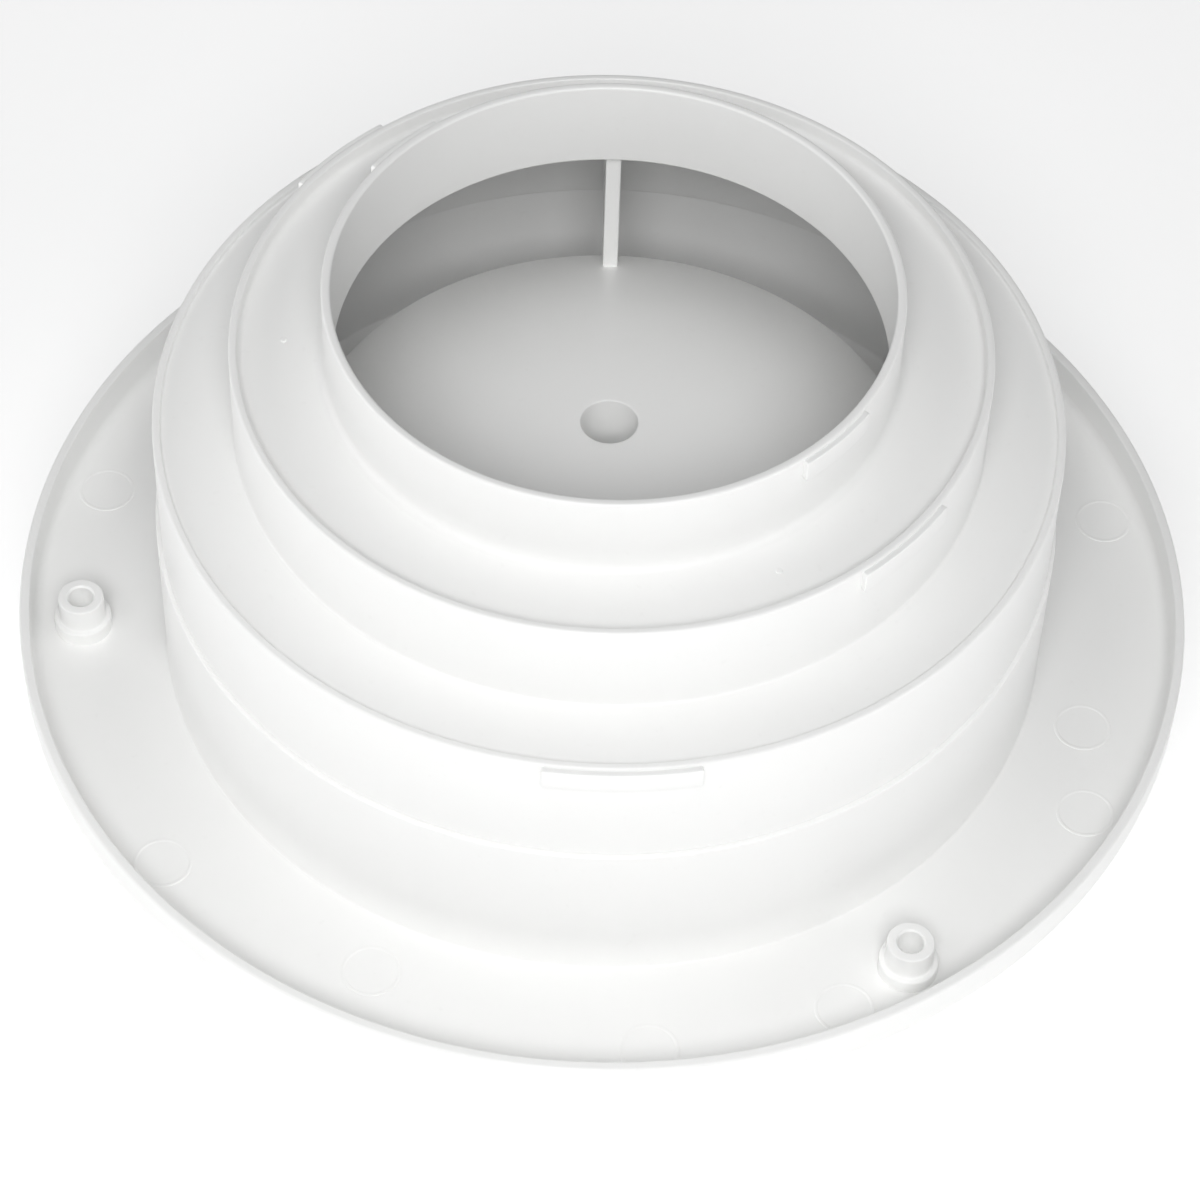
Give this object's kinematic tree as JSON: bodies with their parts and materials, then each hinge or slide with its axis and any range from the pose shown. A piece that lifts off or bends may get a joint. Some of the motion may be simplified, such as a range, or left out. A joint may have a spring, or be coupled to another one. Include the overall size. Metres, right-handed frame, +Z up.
{
  "type": "cowl vent",
  "caption": "Low-profile boat cowl vent: stepped hose neck, round deck flange on screw spacers, domed weather baffle and a cowl that swivels on a central pivot.",
  "frame": {"origin": "centre of the part's foot, the flat crown of the cowl that it stands on, on the axis of the neck and of the swivel", "axes": "+Z up the neck, out of the hose spigots; the cowl's mouth faces +Y at rest; the deck seating plane is at Z = 38.3 mm, facing +Z"},
  "size_m": [0.1642, 0.1642, 0.0982],
  "materials": {
    "white_abs": "satin gloss injection moulding",
    "guard_abs": "satin injection moulding",
    "acetal": "matt, self-lubricating",
    "stainless": "plain A4 stainless",
    "mesh_steel": "woven wire",
    "brass": "turned and knurled"
  },
  "bodies": {
    "base": {"stepped_neck": "white_abs", "deck_base": "white_abs", "weather_baffle": "white_abs", "screen_frame": "guard_abs", "insect_screen": "mesh_steel", "screen_screws": "stainless", "glide_ring": "acetal", "flat_washer": "stainless", "wave_washer": "stainless"},
    "cowl": {"cowl_hood": "white_abs", "mouth_guard": "guard_abs", "threaded_insert": "brass", "pivot_screw": "stainless"}
  },
  "joints": [
    {"name": "cowl_swivel", "type": "hinge", "parent": "base", "child": "cowl", "pos_m": [0, 0, 0.03], "axis": [0, 0, 1], "continuous": true}
  ]
}
